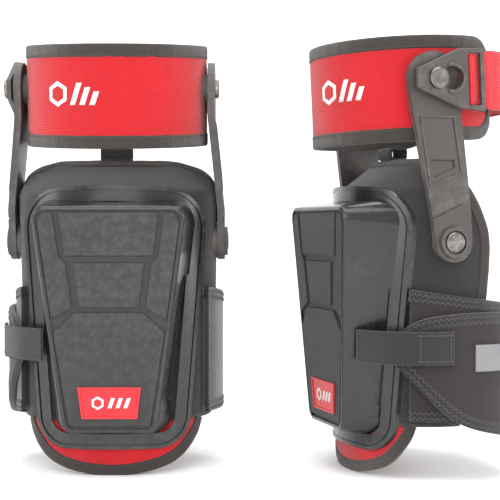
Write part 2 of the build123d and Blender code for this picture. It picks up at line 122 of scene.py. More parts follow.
# %% [markdown]
# ## Curves and grids
# A sewn panel is a sheet with a known edge. The simplest way to hold one is a grid of
# points: rows across, columns along. `through` draws a smooth line through a few points,
# and `spaced` shares points out evenly along a line, so the faces come out square.


# %% Smooth lines
def spaced(line, count, ease=None):
    """count points at even distances along a line."""
    line = np.asarray(line, float)
    steps = np.linalg.norm(np.diff(line, axis=0), axis=1)
    run = np.concatenate([[0], np.cumsum(steps)])
    at = np.linspace(0, 1, count)
    if ease is not None:
        at = ease(at)
    return np.stack([np.interp(at * run[-1], run, line[:, k]) for k in range(line.shape[1])], 1)


def through(points, count=80, ease=None):
    """A smooth line through the points, shared out evenly."""
    p = np.asarray(points, float)
    p = np.vstack([2 * p[0] - p[1], p, 2 * p[-1] - p[-2]])
    fine = []
    for a, b, c, d in zip(p[:-3], p[1:-2], p[2:-1], p[3:]):
        for t in np.linspace(0, 1, 24, endpoint=False):
            fine.append(0.5 * (2 * b + (c - a) * t + (2 * a - 5 * b + 4 * c - d) * t**2
                               + (3 * b - a - 3 * c + d) * t**3))
    fine.append(p[-2])
    return spaced(fine, count, ease)


def grid_normals(grid, outward_from):
    """The normal at each point of a grid, pointing away from an upright line."""
    across = np.gradient(grid, axis=1)
    along = np.gradient(grid, axis=0)
    normal = np.cross(across, along)
    normal /= np.maximum(np.linalg.norm(normal, axis=-1, keepdims=True), 1e-9)
    away = grid[..., :2] - np.asarray(outward_from)
    if (normal[..., :2] * away).sum() < 0:
        normal = -normal
    return normal


print("a smooth line of", len(through([(0, 0), (1, 1), (2, 0)])), "points")

# %% [markdown]
# ## Making a panel
# `panel` turns a grid into closed cloth with a real thickness: an outer face, an inner
# face and the strip between them. Foam-backed cloth is fattest in the middle and thin at
# its seams, so `puff` swells it by a rounded profile. The grid's running lengths go into a
# UV map in metres, which lets a weave keep one size on every piece.


# %% Panel
PIECES = {}


def add_object(name, vertices, faces, uvs, smooth=True):
    mesh = bpy.data.meshes.new(name)
    mesh.from_pydata([tuple(v) for v in vertices], [], [tuple(f) for f in faces])
    if uvs is not None:
        layer = mesh.uv_layers.new(name="cloth")
        corner = np.array([loop.vertex_index for loop in mesh.loops])
        layer.data.foreach_set("uv", np.asarray(uvs)[corner].astype(np.float32).ravel())
    mesh.polygons.foreach_set("use_smooth", [smooth] * len(mesh.polygons))
    thing = bpy.data.objects.new(name, mesh)
    SCENE.collection.objects.link(thing)
    turn_outwards(mesh)
    return thing


def add_piece(side, name, vertices, faces, uvs):
    """A sewn piece; PIECES finds it again by its side and the CAD solid that it stands for."""
    PIECES[side, name] = add_object(f"{side}_sewn_{name}", vertices, faces, uvs)
    return PIECES[side, name]


def turn_outwards(mesh):
    work = bmesh.new()
    work.from_mesh(mesh)
    bmesh.ops.recalc_face_normals(work, faces=work.faces)
    work.to_mesh(mesh)
    work.free()


def swell(rows, columns, power=0.35):
    """1 in the middle of a grid, falling to 0 at its edges as a stuffed panel does."""
    a = np.sin(np.pi * np.linspace(0, 1, rows)) ** power
    b = np.sin(np.pi * np.linspace(0, 1, columns)) ** power
    return a[:, None] * b[None, :]


def ripple(grid, size):
    """A slight unevenness, the same on every run, that stops cloth from looking cut from sheet."""
    x, y, z = np.moveaxis(grid, -1, 0)
    wave = np.sin(x / 17 + z / 23) + np.sin(y / 13 - z / 19 + 1.3) + np.sin((x + y) / 29 + z / 9.5)
    return wave / 3 * size


def running_lengths(grid):
    u = np.concatenate([np.zeros((grid.shape[0], 1)), np.cumsum(
        np.linalg.norm(np.diff(grid, axis=1), axis=-1), axis=1)], 1)
    v = np.concatenate([np.zeros((1, grid.shape[1])), np.cumsum(
        np.linalg.norm(np.diff(grid, axis=0), axis=-1), axis=0)], 0)
    return (u - u.mean(axis=1, keepdims=True)) * MM, v * MM


def panel(name, side, grid, thick, puff=0.0, rough=0.25, centre=(0, 20), leaning=False, inner=1.0):
    """Closed cloth: grid is its outer face at the seams."""
    rows, columns = grid.shape[:2]
    normal = grid_normals(grid, centre)
    fat = swell(rows, columns)[..., None] * puff
    wave = (ripple(grid, rough) * swell(rows, columns, 0.8))[..., None]
    outer = grid + normal * (fat + wave)
    back = grid - normal * (thick + inner * fat - wave)
    corners = np.concatenate([outer.reshape(-1, 3), back.reshape(-1, 3)])
    u, v = running_lengths(grid)
    uv = np.stack([u, v], -1).reshape(-1, 2)
    n = rows * columns
    index = np.arange(n).reshape(rows, columns)
    quads = np.stack([index[:-1, :-1], index[:-1, 1:], index[1:, 1:], index[1:, :-1]], -1).reshape(-1, 4)
    rim = np.concatenate([index[0, :], index[1:, -1], index[-1, -2::-1], index[-2:0:-1, 0]])
    after = np.roll(rim, -1)
    sides = np.stack([rim, after, after + n, rim + n], -1)
    faces = np.concatenate([quads, quads[:, ::-1] + n, sides])
    return add_piece(side, name, to_leg(side, corners, leaning), faces, np.concatenate([uv, uv]))


print("panel helper ready")

# %% [markdown]
# ## Making a binding
# Raw edges are covered with ribbed tape, folded over the edge and sewn through. The tape
# is swept along the edge: at each point a small rounded U is set up from the edge's own
# direction, the cloth's normal and the way into the cloth. `edge_line` finds any line that
# runs beside an edge, so the seams use it too.

# %% Tape over an edge
FOLD = [  # (share of the tape's width into the cloth, share of its height above the cloth)
    (1.0, 0.1), (0.98, 0.75), (0.85, 1.05), (0.6, 1.2), (0.3, 1.25), (0.08, 1.1), (-0.05, 0.5),
]
SEAMS = []


def edge_line(edge, normal, middle, into, above, closed=False):
    """A line beside an edge: so far into the cloth and so far above its outer face."""
    ahead = np.roll(edge, -1, 0) - np.roll(edge, 1, 0) if closed else np.gradient(edge, axis=0)
    inward = np.cross(normal, ahead)
    inward /= np.maximum(np.linalg.norm(inward, axis=1, keepdims=True), 1e-9)
    if ((np.asarray(middle) - edge) * inward).sum() < 0:
        inward = -inward
    return edge + inward * into + normal * above


def sew(side, body, line, normal, leaning=False, pitch=3.3, length=2.5, turn=0.0, thread="thread",
        closed=False, thick=0.75):
    """Note a row of stitches to be made later, on a line with the cloth's normals."""
    start = to_leg(side, line, leaning)
    lie = to_leg(side, line + normal, leaning) - start
    SEAMS.append(dict(body=f"{side}_{body}", line=start, lie=lie / MM, pitch=pitch * MM, length=length * MM,
                      turn=math.radians(turn), thread=thread, closed=closed, thick=thick * MM))


def tape(name, side, edge, normal, middle, width, thick, proud=1.0, closed=False, leaning=False):
    """A folded tape swept along an edge: edge lies in the cloth's outer face."""
    profile = [(a, b * proud) for a, b in FOLD] + [(a, -thick - b * proud) for a, b in FOLD[::-1]]
    lines = [edge_line(edge, normal, middle, a * width, b, closed) for a, b in profile]
    rings = np.stack(lines, 1)
    count, around = rings.shape[:2]
    lump = 0.12 * np.sin(np.arange(count) * 0.83) + 0.1 * np.sin(np.arange(count) * 0.31 + 1)
    rings += (normal * (lump * proud)[:, None])[:, None, :]
    run = np.concatenate([[0], np.cumsum(np.linalg.norm(np.diff(edge, axis=0), axis=1))])
    uv = [(run[k] * MM, a / around * 2.4 * width * MM) for k in range(count) for a in range(around)]
    faces = []
    for k in range(count if closed else count - 1):
        here, there = k * around, (k + 1) % count * around
        for a in range(around):
            b = (a + 1) % around
            faces.append((here + a, here + b, there + b, there + a))
    if not closed:
        faces += [tuple(range(around)), tuple(reversed(range((count - 1) * around, count * around)))]
    return add_piece(side, name, to_leg(side, rings.reshape(-1, 3), leaning), faces, uv)


def joined(name, things):
    """Several meshes made into one piece."""
    work = bmesh.new()
    for thing in things:
        work.from_mesh(thing.data)
    mesh = things[0].data
    work.to_mesh(mesh)
    work.free()
    for thing in things[1:]:
        bpy.data.objects.remove(thing)
    things[0].name = name
    return things[0]


print("fold profile of", 2 * len(FOLD), "points")

# %% [markdown]
# ## The body's shape
# Seen from above, the body is a D: a round front, two smooth sides and an open back. It is
# upright up to the knee, and then leans back over it. A row at any height is found by
# sliding between the three level sections that it was drawn from.


# %% The hood
RIM_AXIS, RIM_RADIUS = 68.0, 118.0
BODY_LOW, BODY_HIGH = 45.0, 264.0
BODY_THICK, LINER_THICK, FLAP_THICK = 7.0, 3.0, 5.0
TAPE_WIDE, CUFF_TAPE = 9.0, 10.5


def section(front_y, radius, arc_half, side_half, inset):
    """One level section, from its rear outer end round the front to its rear inner end."""
    r = radius - inset
    x = arc_half * r / radius
    centre_y = front_y + radius
    y = centre_y - math.sqrt(r * r - x * x)
    a, b = np.array((x, y)), np.array((side_half - inset, 70.0))
    chord = np.linalg.norm(b - a)
    da, db = np.array((math.sqrt(r * r - x * x) / r, x / r)) * chord, np.array((0, 1)) * chord
    t = np.linspace(0, 1, 40)[:, None]
    side = ((2 * t**3 - 3 * t**2 + 1) * a + (t**3 - 2 * t**2 + t) * da
            + (3 * t**2 - 2 * t**3) * b + (t**3 - t**2) * db)
    angle = np.linspace(math.asin(x / r), -math.asin(x / r), 62)[1:-1]
    front = np.stack([r * np.sin(angle), centre_y - r * np.cos(angle)], 1)
    return np.vstack([side[::-1], front, side * (-1, 1)])


def hood_line(z, inset=0.0):
    front = RIM_AXIS - RIM_RADIUS + 3
    low = section(front, 115, 60, 78, inset)
    knee = section(front, 115, 74, 81.5, inset)
    top = section(-6, 115, 66, 75, inset)
    if z <= 236:
        return low + (knee - low) * (z + 5) / 241
    return knee + (top - knee) * (z - 236) / 30


def hood_row(z, y_end, count, inset=0.0):
    """The part of a row in front of y_end, with its height."""
    line = hood_line(z, inset)
    kept = np.nonzero(line[:, 1] <= y_end)[0]
    first, last = kept[0], kept[-1]
    ends = []
    for outside, within in ((first - 1, first), (last + 1, last)):
        share = (y_end - line[outside, 1]) / (line[within, 1] - line[outside, 1])
        ends.append(line[outside] + share * (line[within] - line[outside]))
    row = spaced(np.vstack([ends[:1], line[kept], ends[1:]]), count)
    return np.column_stack([row, np.full(count, z)])


def hood_point(x, z, inset=0.0):
    line = hood_line(z, inset)
    front = line[line[:, 0].argmax():line[:, 0].argmin() + 1]
    return np.array((x, np.interp(x, front[::-1, 0], front[::-1, 1]), z))


BACK_EDGE = through([(2, 264), (24, 241), (40, 214), (45, 190), (41, 140), (28, 80), (12, 20)])


def back_edge(z):
    return np.interp(z, BACK_EDGE[::-1, 1], BACK_EDGE[::-1, 0])


def softened(line, times, closed=False):
    """The same line with its corners rounded a little."""
    line = np.array(line)
    for _ in range(times):
        inner = (np.roll(line, 1, 0) + 2 * line + np.roll(line, -1, 0)) / 4
        if not closed:
            inner[0], inner[-1] = line[0], line[-1]
        line = inner
    return line


def unit(vectors):
    return vectors / np.maximum(np.linalg.norm(vectors, axis=-1, keepdims=True), 1e-9)


print("row at the knee", len(hood_line(200)), "points")

# %% [markdown]
# ## Body, lining, flap and pull loop
# The body is one padded panel of ribbed black cloth. Its top and back edges are bound in
# one run of tape. The lining lies inside it, the red flap hangs below the cap, and a loop
# of webbing at the top is for pulling the pad on.


# %% Body and lining
def body_edge(inset=0.0):
    """Up the outer side, over the top and down the inner side, with the cloth's normals."""
    heights = np.linspace(BODY_LOW, BODY_HIGH, 60)
    rows = np.array([hood_row(z, back_edge(z), 60, inset) for z in heights])
    normal = grid_normals(rows, (0, 20))
    edge = np.vstack([rows[:, 0], rows[-1, 1:-1], rows[::-1, -1]])
    lie = np.vstack([normal[:, 0], normal[-1, 1:-1], normal[::-1, -1]])
    share = spaced(np.hstack([edge, lie]), 260)
    share = softened(share, 6)
    return share[:, :3], unit(share[:, 3:])


def make_body(side):
    heights = np.linspace(BODY_LOW, BODY_HIGH - 1.2, 60)
    rows = np.array([hood_row(z, back_edge(z) - 1.5, 110) for z in heights])
    body = panel("fabric_body", side, rows, BODY_THICK, puff=0.5, rough=0.3)
    edge, lie = body_edge()
    middle = (0, 0, 150)
    binding = tape("body_binding", side, edge, lie, middle, TAPE_WIDE, BODY_THICK)
    for into, pitch in ((7.4, 3.3),):
        sew(side, "knee", edge_line(edge, lie, middle, into, 1.15), lie, pitch=pitch)
    heights = np.linspace(60, 254, 40)
    rows = np.array([hood_row(z, back_edge(z) - 11.5, 60, 8.2) for z in heights])
    liner = panel("knee_liner", side, rows, LINER_THICK - 0.6, puff=0.0, rough=0.3, inner=0)
    return body, binding, liner


FLAP_EDGE = through([(76, 60), (69, 30), (47, 8), (0, 0), (-47, 8), (-69, 30), (-76, 60)])
FLAP_HALF = 73.4


def flap_low(x):
    return np.interp(x, FLAP_EDGE[::-1, 0], FLAP_EDGE[::-1, 1])


def make_flap(side):
    across = np.linspace(FLAP_HALF, -FLAP_HALF, 90)
    rows = np.array([[hood_point(x, low + (BODY_LOW - 0.4 - low) * t, 0.6)
                      for x, low in ((x, min(flap_low(x) + 1.2, 44)) for x in across)]
                     for t in np.linspace(0, 1, 16)])
    flap = panel("shin_flap", side, rows, FLAP_THICK, puff=0.35, rough=0.2, inner=0.4)
    across = np.linspace(FLAP_HALF, -FLAP_HALF, 140)
    edge = np.array([hood_point(x, min(flap_low(x), 44), 0.6) for x in across])
    inside = np.array([hood_point(x, min(flap_low(x), 44) + 4, 0.6) for x in across])
    edge = spaced(edge, 140)
    lie = unit(np.cross(np.gradient(edge, axis=0), spaced(inside, 140) - edge))
    lie *= np.sign((lie[:, :2] * (edge[:, :2] - (0, 20))).sum(1))[:, None]
    middle = (0, -40, 44)
    binding = tape("flap_binding", side, edge, lie, middle, TAPE_WIDE, FLAP_THICK, proud=0.6)
    sew(side, "knee", edge_line(edge, lie, middle, 7.4, 0.8), lie)
    return flap, binding


def make_loop(side):
    """A band of webbing bent into a flat ring that stands on the hood's top edge."""
    angle = np.linspace(0, 2 * math.pi, 48, endpoint=False)
    c, s = np.cos(angle), np.sin(angle)
    ring = np.stack([np.sign(c) * np.abs(c) ** 0.55 * 7.9, np.sign(s) * np.abs(s) ** 0.55 * 5.9], 1)
    ahead = np.roll(ring, -1, 0) - np.roll(ring, 1, 0)
    out = unit(np.stack([ahead[:, 1], -ahead[:, 0]], 1))
    profile = [(-13.4, -0.3), (-12.9, 0), (-6, 0.05), (0, 0), (6, 0.05), (12.9, 0), (13.4, -0.3),
               (13.4, -1.5), (12.9, -1.8), (0, -1.8), (-12.9, -1.8), (-13.4, -1.5)]
    points, uv, faces = [], [], []
    run = np.concatenate([[0], np.cumsum(np.linalg.norm(np.diff(ring, axis=0), axis=1))])
    for k, (centre, normal) in enumerate(zip(ring, out)):
        for a, (x, h) in enumerate(profile):
            y, z = centre + normal * h
            points.append((x, y - 3.5, z + 270.1))
            uv.append((x * MM, run[k] * MM))
            b, after = (a + 1) % 12, (k + 1) % 48 * 12
            faces.append((k * 12 + a, k * 12 + b, after + b, after + a))
    return add_piece(side, "pull_loop", to_leg(side, points), faces, uv)


BODY = {side: make_body(side) for side in SIDES}
for make_piece in (make_flap, make_loop):
    for side in SIDES:
        make_piece(side)
print("body pieces", [thing.name for side in SIDES for thing in BODY[side]])

# %% [markdown]
# ## Neoprene wings and the calf strap
# The wings are thick neoprene strips that come out from under the cap's rim and turn round
# the calf. The strap starts on the inner wing, goes round the back and lies over the outer
# wing, where it ends in a leaf-shaped tongue. Neoprene frays, so each long edge is bound.


# %% Wings and strap
NEOPRENE = 5.0
OUTER_WING = [(77.2, -23), (83.6, -8), (87.6, 12), (87.8, 36), (80.5, 54.5), (67.5, 65.5)]
INNER_WING = [(-77.2, -23), (-83.6, -8), (-87.6, 12), (-87.6, 36), (-78, 54), (-63.2, 63.8)]
STRAP = [
    (-59.2, 66.9), (-40, 76.5), (-10, 82), (22, 83), (50, 79.8), (74.5, 70.5), (89.5, 55.5),
    (94.3, 36), (93.8, 12), (89.9, -10), (83.2, -27), (75, -41),
]
TONGUE = [(62, 36), (12, 50), (-24, 82), (-41, 108), (-24, 130), (12, 137), (62, 138)]


def beside(line, distance):
    """A plan line moved away from the leg."""
    ahead = np.gradient(line, axis=0)
    out = unit(np.stack([ahead[:, 1], -ahead[:, 0]], 1))
    if (out * (line - (0, 20))).sum() < 0:
        out = -out
    return line + out * distance, np.column_stack([out, np.zeros(len(line))])


def lifted(line, heights):
    return np.column_stack([line, np.broadcast_to(heights, len(line))])


def make_wing(name, side, points):
    line, out = beside(through(points, 90), NEOPRENE / 2)
    top = 161 - (line[:, 1] + 60) * 24 / 180
    low = 52 - (line[:, 1] + 60) * 6 / 180
    rows = np.array([lifted(line, low + 1.2 + (top - low - 2.4) * t) for t in np.linspace(0, 1, 26)])
    sheet = panel(name, side, rows, NEOPRENE, puff=0.15, rough=0.35, inner=0.3)
    bands = []
    for label, height in (("top", top), ("low", low)):
        edge, middle = lifted(line, height), (0, 20, 100)
        bands.append(tape(f"{name}_{label}", side, edge, out, middle, TAPE_WIDE, NEOPRENE, proud=0.35))
        for into in (2.6, 7.0):
            row = edge_line(edge, out, middle, into, 0.5)
            sew(side, "knee", row, out, pitch=2.3, length=3.2, turn=52, thread="dark thread", thick=0.55)
    return sheet, bands


def strap_path():
    """The strap's outer face in plan, and how far along it each y of the tongue lies."""
    line, out = beside(through(STRAP, 320), NEOPRENE / 2)
    run = np.concatenate([[0], np.cumsum(np.linalg.norm(np.diff(line, axis=0), axis=1))])
    return line, out, run


def strap_outline():
    """The strap laid flat: along its length and up, from the hinge round the tongue and back."""
    line, _, run = strap_path()
    front = np.nonzero((line[:, 0] > 60) & (line[:, 1] < 72))[0]
    at = lambda y: np.interp(-y, -line[front, 1], run[front])
    leaf = through(TONGUE, 160)
    leaf = np.stack([at(leaf[:, 0]), leaf[:, 1]], 1)
    start = run[6]
    low = np.stack([np.linspace(start, leaf[0, 0], 60, endpoint=False), np.full(60, leaf[0, 1])], 1)
    high = np.stack([np.linspace(leaf[-1, 0], start, 61)[1:], np.full(60, leaf[-1, 1])], 1)
    return spaced(softened(np.vstack([low, leaf, high]), 3), 420)


def on_strap(flat, raise_by=0.0):
    """Points of the flat strap bent round the leg."""
    line, out, run = strap_path()
    plan = np.stack([np.interp(flat[:, 0], run, line[:, k]) for k in (0, 1)], 1)
    lie = np.stack([np.interp(flat[:, 0], run, out[:, k]) for k in (0, 1, 2)], 1)
    lie = unit(lie)
    return np.column_stack([plan, flat[:, 1]]) + lie * raise_by, lie


def make_strap(side):
    outline = strap_outline()
    tip = outline[:, 0].argmax()
    low, high = outline[:tip + 1], outline[tip:][::-1]
    ease = np.linspace(0, 1, 130)
    along = outline[0, 0] + (outline[tip, 0] - 0.9 - outline[0, 0]) * np.sin(ease * math.pi / 2) ** 0.8
    bottom = np.interp(along, low[:, 0], low[:, 1]) + 0.8
    top = np.interp(along, high[:, 0], high[:, 1]) - 0.8
    rows = []
    for t in np.linspace(0, 1, 28):
        rows.append(on_strap(np.stack([along, bottom + (top - bottom) * t], 1))[0])
    sheet = panel("calf_strap", side, np.array(rows), NEOPRENE, puff=0.15, rough=0.4, inner=0.3)
    edge, lie = on_strap(outline)
    middle = (edge[:tip].mean(0) + edge[tip:].mean(0)) / 2
    pull = tape("strap_binding", side, edge, lie, middle, TAPE_WIDE, NEOPRENE, proud=0.35)
    for into in (2.6, 7.0):
        row = edge_line(edge, lie, middle, into, 0.5)
        sew(side, "strap", row, lie, pitch=2.3, length=3.2, turn=52, thread="dark thread", thick=0.55)
    return sheet, pull


def make_tab(side):
    """Webbing sewn to the tongue; its front end bulges off so that fingers can pull it."""
    plan = [(97.4, 6), (95.4, -12), (90.4, -27), (77.5, -45), (56, -60.5)]
    line, out = beside(through(plan, 90), 1.0)
    rows = np.array([lifted(line, z) for z in np.linspace(97.1, 123.9, 15)])
    tab = panel("strap_tab", side, rows, 2.0, puff=0.1, rough=0.1, inner=0.1)
    box = line[:34]
    for z in (100.2, 120.8):
        sew(side, "strap", lifted(box[2:-2], z), out[2:32], pitch=2.6, length=2.0, thread="dark thread")
    for k in (3, 30):
        rung = np.array([(box[k, 0], box[k, 1], z) for z in np.linspace(100.2, 120.8, 12)])
        sew(side, "strap", rung, np.repeat(out[k:k + 1], 12, 0), pitch=2.6, length=2.0, thread="dark thread")
    plan, _ = beside(through([(98.1, 25), (98.1, 37), (95.6, 50)], 30), 0.5)
    rows = np.array([lifted(plan, z) for z in np.linspace(91.2, 112.8, 12)])
    label = panel("strap_label", side, rows, 1.0, puff=0.05, rough=0.05, inner=0)
    return tab, label


WINGS, STRAPS = {}, {}
for side in SIDES:
    outer, outer_bands = make_wing("outer_wing", side, OUTER_WING)
    inner, inner_bands = make_wing("inner_wing", side, INNER_WING)
    WINGS[side] = outer, inner, joined(f"{side}_sewn_wing_binding", outer_bands + inner_bands)
    PIECES[side, "wing_binding"] = WINGS[side][2]
    STRAPS[side] = make_strap(side)
    make_tab(side)
print("strap", len(STRAPS["left"][0].data.polygons), "faces")

# %% [markdown]
# ## Thigh cuff and elastic
# The cuff is a short tube of red cloth on a soft lining, open at the back, with rounded
# ends. One closed run of tape binds it all round. The elastic starts in the buckle's
# window, goes round the back of the thigh and is sewn to the far end of the cuff.


# %% Cuff
CUFF_Y, CUFF_R, CUFF_IN = 4.0, 77.0, 68.0
CUFF_LOW, CUFF_HIGH, CUFF_END, CUFF_CORNER = 278.0, 362.0, 60.0, 22.0


def cuff_end(z, inset=0.0):
    """How far back the cuff reaches at a height."""
    near = min(z - CUFF_LOW - inset, CUFF_HIGH - inset - z)
    corner = CUFF_CORNER - inset
    if near >= corner:
        return CUFF_END - inset
    return CUFF_END - inset - corner + math.sqrt(max(corner**2 - (corner - near) ** 2, 0))


def cuff_row(z, y_end, count, radius):
    reach = math.pi / 2 + math.asin((y_end - CUFF_Y) / CUFF_R)
    turn = np.linspace(reach, -reach, count) - math.pi / 2
    return np.stack([radius * np.cos(turn), CUFF_Y + radius * np.sin(turn), np.full(count, z)], 1)


def cuff_edge(count=520):
    """The cuff's whole edge: along the bottom, up the outer end, back along the top and down."""
    heights = CUFF_LOW + (CUFF_HIGH - CUFF_LOW) * (0.5 - 0.5 * np.cos(np.linspace(0, math.pi, 80)))
    end = np.array([(math.pi / 2 + math.asin((cuff_end(z) - CUFF_Y) / CUFF_R)) * CUFF_R for z in heights])
    low = np.column_stack([np.linspace(-end[0], end[0], 200), np.full(200, CUFF_LOW)])
    flat = np.vstack([low[:-1], np.column_stack([end, heights]), (low * (-1, 0) + (0, CUFF_HIGH))[1:-1],
                      np.column_stack([-end, heights])[::-1]])
    flat = spaced(np.vstack([flat, flat[:1]]), count + 1)[:-1]
    turn = flat[:, 0] / CUFF_R - math.pi / 2
    lie = np.stack([np.cos(turn), np.sin(turn), np.zeros(count)], 1)
    edge = np.column_stack([CUFF_R * np.cos(turn), CUFF_Y + CUFF_R * np.sin(turn), flat[:, 1]])
    return edge, lie


def make_cuff(side):
    heights = np.linspace(CUFF_LOW + 3, CUFF_HIGH - 3, 40)
    rows = np.array([cuff_row(z, cuff_end(z, 3), 170, CUFF_R) for z in heights])
    red = panel("cuff_panel", side, rows, 3.0, puff=0.9, rough=0.35, leaning=True, inner=0)
    rows = np.array([cuff_row(z, cuff_end(z, 3), 120, CUFF_R - 3.6) for z in heights])
    lining = panel("cuff_lining", side, rows, CUFF_R - 3.6 - CUFF_IN - 1.5, puff=0.0, rough=0.3,
                   leaning=True, inner=0)
    edge, lie = cuff_edge()
    middle = (0, -60, 320)
    ring = tape("cuff_binding", side, edge, lie, middle, CUFF_TAPE, CUFF_R - CUFF_IN - 1.2, proud=0.9,
                closed=True, leaning=True)
    for into in (8.8,):
        sew(side, "cuff", edge_line(edge, lie, middle, into, 1.1, True), lie, leaning=True, closed=True)
    return red, lining, ring


ELASTIC = [
    (90.2, 22.6), (88.9, 26.5), (86.1, 31.5), (85.2, 37), (82.5, 45), (69, 65), (38, 81.5),
    (0, 86.5), (-38, 78), (-62, 56.5), (-72.8, 36), (-76.2, 26.5),
]


def make_elastic(side):
    line, _ = beside(through(ELASTIC, 220), 1.0)
    low = np.interp(line[:, 1], (32, 45), (304.1, 300.0)) + 0.3
    high = np.interp(line[:, 1], (32, 45), (345.3, 349.0)) - 0.3
    rows = np.array([lifted(line, low + (high - low) * t) for t in np.linspace(0, 1, 24)])
    return panel("elastic_strap", side, rows, 1.8, puff=0.0, rough=0.12, leaning=True, inner=0)


CUFFS = {side: make_cuff(side) for side in SIDES}
for side in SIDES:
    make_elastic(side)
print("cuff", len(CUFFS["left"][2].data.polygons), "faces of tape")

# %% [markdown]
# ## Shader groups
# Effects that several materials share are node groups: a weave, ribs, slow colour change,
# worn edges and a moulded grain. They only give out numbers. Each material then decides
# what colour and how rough it is.


# %% Node helpers
def feed(tree, socket, value):
    if isinstance(value, bpy.types.NodeSocket):
        tree.links.new(value, socket)
    else:
        socket.default_value = value


def calc(tree, operation, a, b=None, c=None):
    node = tree.nodes.new("ShaderNodeMath")
    node.operation = operation
    for socket, value in zip(node.inputs, (a, b, c)):
        if value is not None:
            feed(tree, socket, value)
    return node.outputs[0]


def blend_colours(tree, share, first, second, how="MIX"):
    node = tree.nodes.new("ShaderNodeMix")
    node.data_type, node.blend_type = "RGBA", how
    feed(tree, node.inputs["Factor"], share)
    feed(tree, node.inputs[6], first)
    feed(tree, node.inputs[7], second)
    return node.outputs[2]


def remap(tree, value, low, high, to_low=0.0, to_high=1.0):
    node = tree.nodes.new("ShaderNodeMapRange")
    for socket, setting in zip(node.inputs, (value, low, high, to_low, to_high)):
        feed(tree, socket, setting)
    return node.outputs[0]


def noise(tree, vector, scale, detail=3.0, rough=0.55):
    node = tree.nodes.new("ShaderNodeTexNoise")
    feed(tree, node.inputs["Vector"], vector)
    feed(tree, node.inputs["Scale"], scale)
    node.inputs["Detail"].default_value = detail
    node.inputs["Roughness"].default_value = rough
    return node.outputs["Fac"]


def turned(tree, vector, angle):
    node = tree.nodes.new("ShaderNodeVectorRotate")
    node.rotation_type = "Z_AXIS"
    feed(tree, node.inputs["Vector"], vector)
    feed(tree, node.inputs["Angle"], angle)
    parts = tree.nodes.new("ShaderNodeSeparateXYZ")
    tree.links.new(node.outputs[0], parts.inputs[0])
    return parts.outputs


def new_group(name, inputs, outputs):
    tree = bpy.data.node_groups.new(name, "ShaderNodeTree")
    for label, kind, value in inputs:
        socket = tree.interface.new_socket(label, in_out="INPUT", socket_type=kind)
        if value is not None:
            socket.default_value = value
    for label, kind in outputs:
        tree.interface.new_socket(label, in_out="OUTPUT", socket_type=kind)
    return tree, tree.nodes.new("NodeGroupInput").outputs, tree.nodes.new("NodeGroupOutput").inputs


FLOAT, VECTOR = "NodeSocketFloat", "NodeSocketVector"
print("node helpers ready")


# %% Weave, ribs, drift, wear and grain
def weave_group():
    """Over-and-under threads: Height for the bump and for the painted shade between the threads, Tone for
    threads that differ a little.
    """
    tree, given, out = new_group(
        "Weave",
        [
            ("Vector", VECTOR, None), ("Pitch", FLOAT, 0.001),
            ("Angle", FLOAT, 0.0), ("Slip", FLOAT, 1.0),
        ],
        [("Height", FLOAT), ("Tone", FLOAT)])
    x, y, _ = turned(tree, given["Vector"], given["Angle"])
    u, v = calc(tree, "DIVIDE", x, given["Pitch"]), calc(tree, "DIVIDE", y, given["Pitch"])
    warp = calc(tree, "ABSOLUTE", calc(tree, "SINE", calc(tree, "MULTIPLY", u, math.pi)))
    weft = calc(tree, "ABSOLUTE", calc(tree, "SINE", calc(tree, "MULTIPLY", v, math.pi)))
    slip = calc(tree, "MULTIPLY", calc(tree, "FLOOR", v), given["Slip"])
    cell = calc(tree, "ADD", calc(tree, "FLOOR", u), slip)
    over = calc(tree, "FLOORED_MODULO", cell, 2.0)
    top = calc(tree, "MULTIPLY", warp, calc(tree, "MULTIPLY_ADD", weft, 0.45, 0.55))
    low = calc(tree, "MULTIPLY", weft, calc(tree, "MULTIPLY_ADD", warp, 0.45, 0.55))
    both = calc(tree, "ADD", calc(tree, "MULTIPLY", top, over),
                calc(tree, "MULTIPLY", low, calc(tree, "SUBTRACT", 1.0, over)))
    feed(tree, out["Height"], both)
    feed(tree, out["Tone"], over)
    return tree


def ribs_group():
    """Parallel rounded ribs."""
    tree, given, out = new_group(
        "Ribs",
        [
            ("Vector", VECTOR, None), ("Pitch", FLOAT, 0.001),
            ("Angle", FLOAT, 0.0), ("Round", FLOAT, 0.7),
        ],
        [("Height", FLOAT)])
    x, _, _ = turned(tree, given["Vector"], given["Angle"])
    wave = calc(tree, "SINE", calc(tree, "MULTIPLY", calc(tree, "DIVIDE", x, given["Pitch"]), math.pi))
    feed(tree, out["Height"], calc(tree, "POWER", calc(tree, "ABSOLUTE", wave), given["Round"]))
    return tree


def drift_group():
    """Slow changes of tone over a hand's width and finer ones over a finger's."""
    inputs = [("Vector", VECTOR, None), ("Size", FLOAT, 0.03)]
    tree, given, out = new_group("Drift", inputs, [("Tone", FLOAT)])
    scale = calc(tree, "DIVIDE", 1.0, given["Size"])
    broad = noise(tree, given["Vector"], scale, 2.0)
    fine = noise(tree, given["Vector"], calc(tree, "MULTIPLY", scale, 6.0), 4.0)
    feed(tree, out["Tone"], remap(tree, calc(tree, "MULTIPLY_ADD", fine, 0.5, broad), 0.45, 1.05))
    return tree


def wear_group():
    """1 on rubbed edges, broken up so that it isn't an outline."""
    inputs = [("Vector", VECTOR, None), ("Width", FLOAT, 0.06)]
    tree, given, out = new_group("Wear", inputs, [("Mask", FLOAT)])
    point = tree.nodes.new("ShaderNodeNewGeometry").outputs["Pointiness"]
    edge = remap(tree, point, 0.505, calc(tree, "ADD", given["Width"], 0.505))
    patch = remap(tree, noise(tree, given["Vector"], 140.0, 5.0, 0.7), 0.42, 0.68)
    feed(tree, out["Mask"], calc(tree, "MULTIPLY", edge, patch))
    return tree


